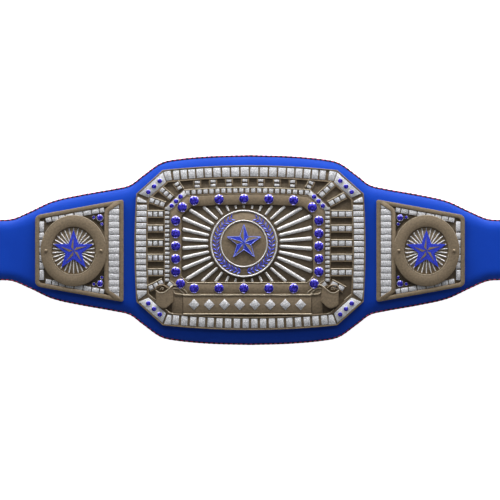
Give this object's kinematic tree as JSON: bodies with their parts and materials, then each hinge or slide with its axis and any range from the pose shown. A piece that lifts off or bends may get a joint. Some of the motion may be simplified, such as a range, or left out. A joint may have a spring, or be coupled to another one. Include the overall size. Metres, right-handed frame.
{
  "type": "championship title belt",
  "caption": "Title belt lying on its back: wide padded leather strap, eight-sided cast main plate with tiles, rays, medallion, star and stones, and two side plates.",
  "frame": {"origin": "middle of the strap's flat back, which lies on the floor", "axes": "+X along the belt to the right as seen, +Y up the belt, +Z out of the plates"},
  "size_m": [1.3, 0.2374, 0.0139],
  "materials": {
    "leather": "smooth blue leather with a soft sheen",
    "bronze": "antique bronze, darkened in its recesses",
    "silver": "sandblasted silver plating",
    "enamel": "glossy blue enamel",
    "stone": "cut blue glass, foiled at the back",
    "stud": "plain nickel-plated press stud"
  },
  "bodies": {
    "root": {"banner": "bronze", "corner_bar_lower_left": "silver", "corner_bar_lower_right": "silver", "corner_bar_upper_left": "silver", "corner_bar_upper_right": "silver", "inner_setting_left": "silver", "inner_setting_right": "silver", "main_plate": "bronze", "main_star": "enamel", "medallion": "bronze", "press_stud_left_1a": "stud", "press_stud_left_1b": "stud", "press_stud_left_2a": "stud", "press_stud_left_2b": "stud", "press_stud_right_1a": "stud", "press_stud_right_1b": "stud", "press_stud_right_2a": "stud", "press_stud_right_2b": "stud", "side_disc_left": "bronze", "side_disc_right": "bronze", "side_plate_left": "bronze", "side_plate_right": "bronze", "side_screw_left_a": "bronze", "side_screw_left_b": "bronze", "side_screw_right_a": "bronze", "side_screw_right_b": "bronze", "side_star_left": "enamel", "side_star_right": "enamel", "stone_bottom_1": "stone", "stone_bottom_2": "stone", "stone_bottom_3": "stone", "stone_bottom_4": "stone", "stone_bottom_5": "stone", "stone_corner_lower_left": "stone", "stone_corner_lower_right": "stone", "stone_corner_upper_left": "stone", "stone_corner_upper_right": "stone", "stone_frame": "bronze", "stone_left_1": "stone", "stone_left_2": "stone", "stone_left_3": "stone", "stone_left_4": "stone", "stone_left_5": "stone", "stone_right_1": "stone", "stone_right_2": "stone", "stone_right_3": "stone", "stone_right_4": "stone", "stone_right_5": "stone", "stone_top_1": "stone", "stone_top_2": "stone", "stone_top_3": "stone", "stone_top_4": "stone", "stone_top_5": "stone", "stone_trio_left_lower": "stone", "stone_trio_left_upper": "stone", "stone_trio_right_lower": "stone", "stone_trio_right_upper": "stone", "strap": "leather"}
  },
  "joints": []
}
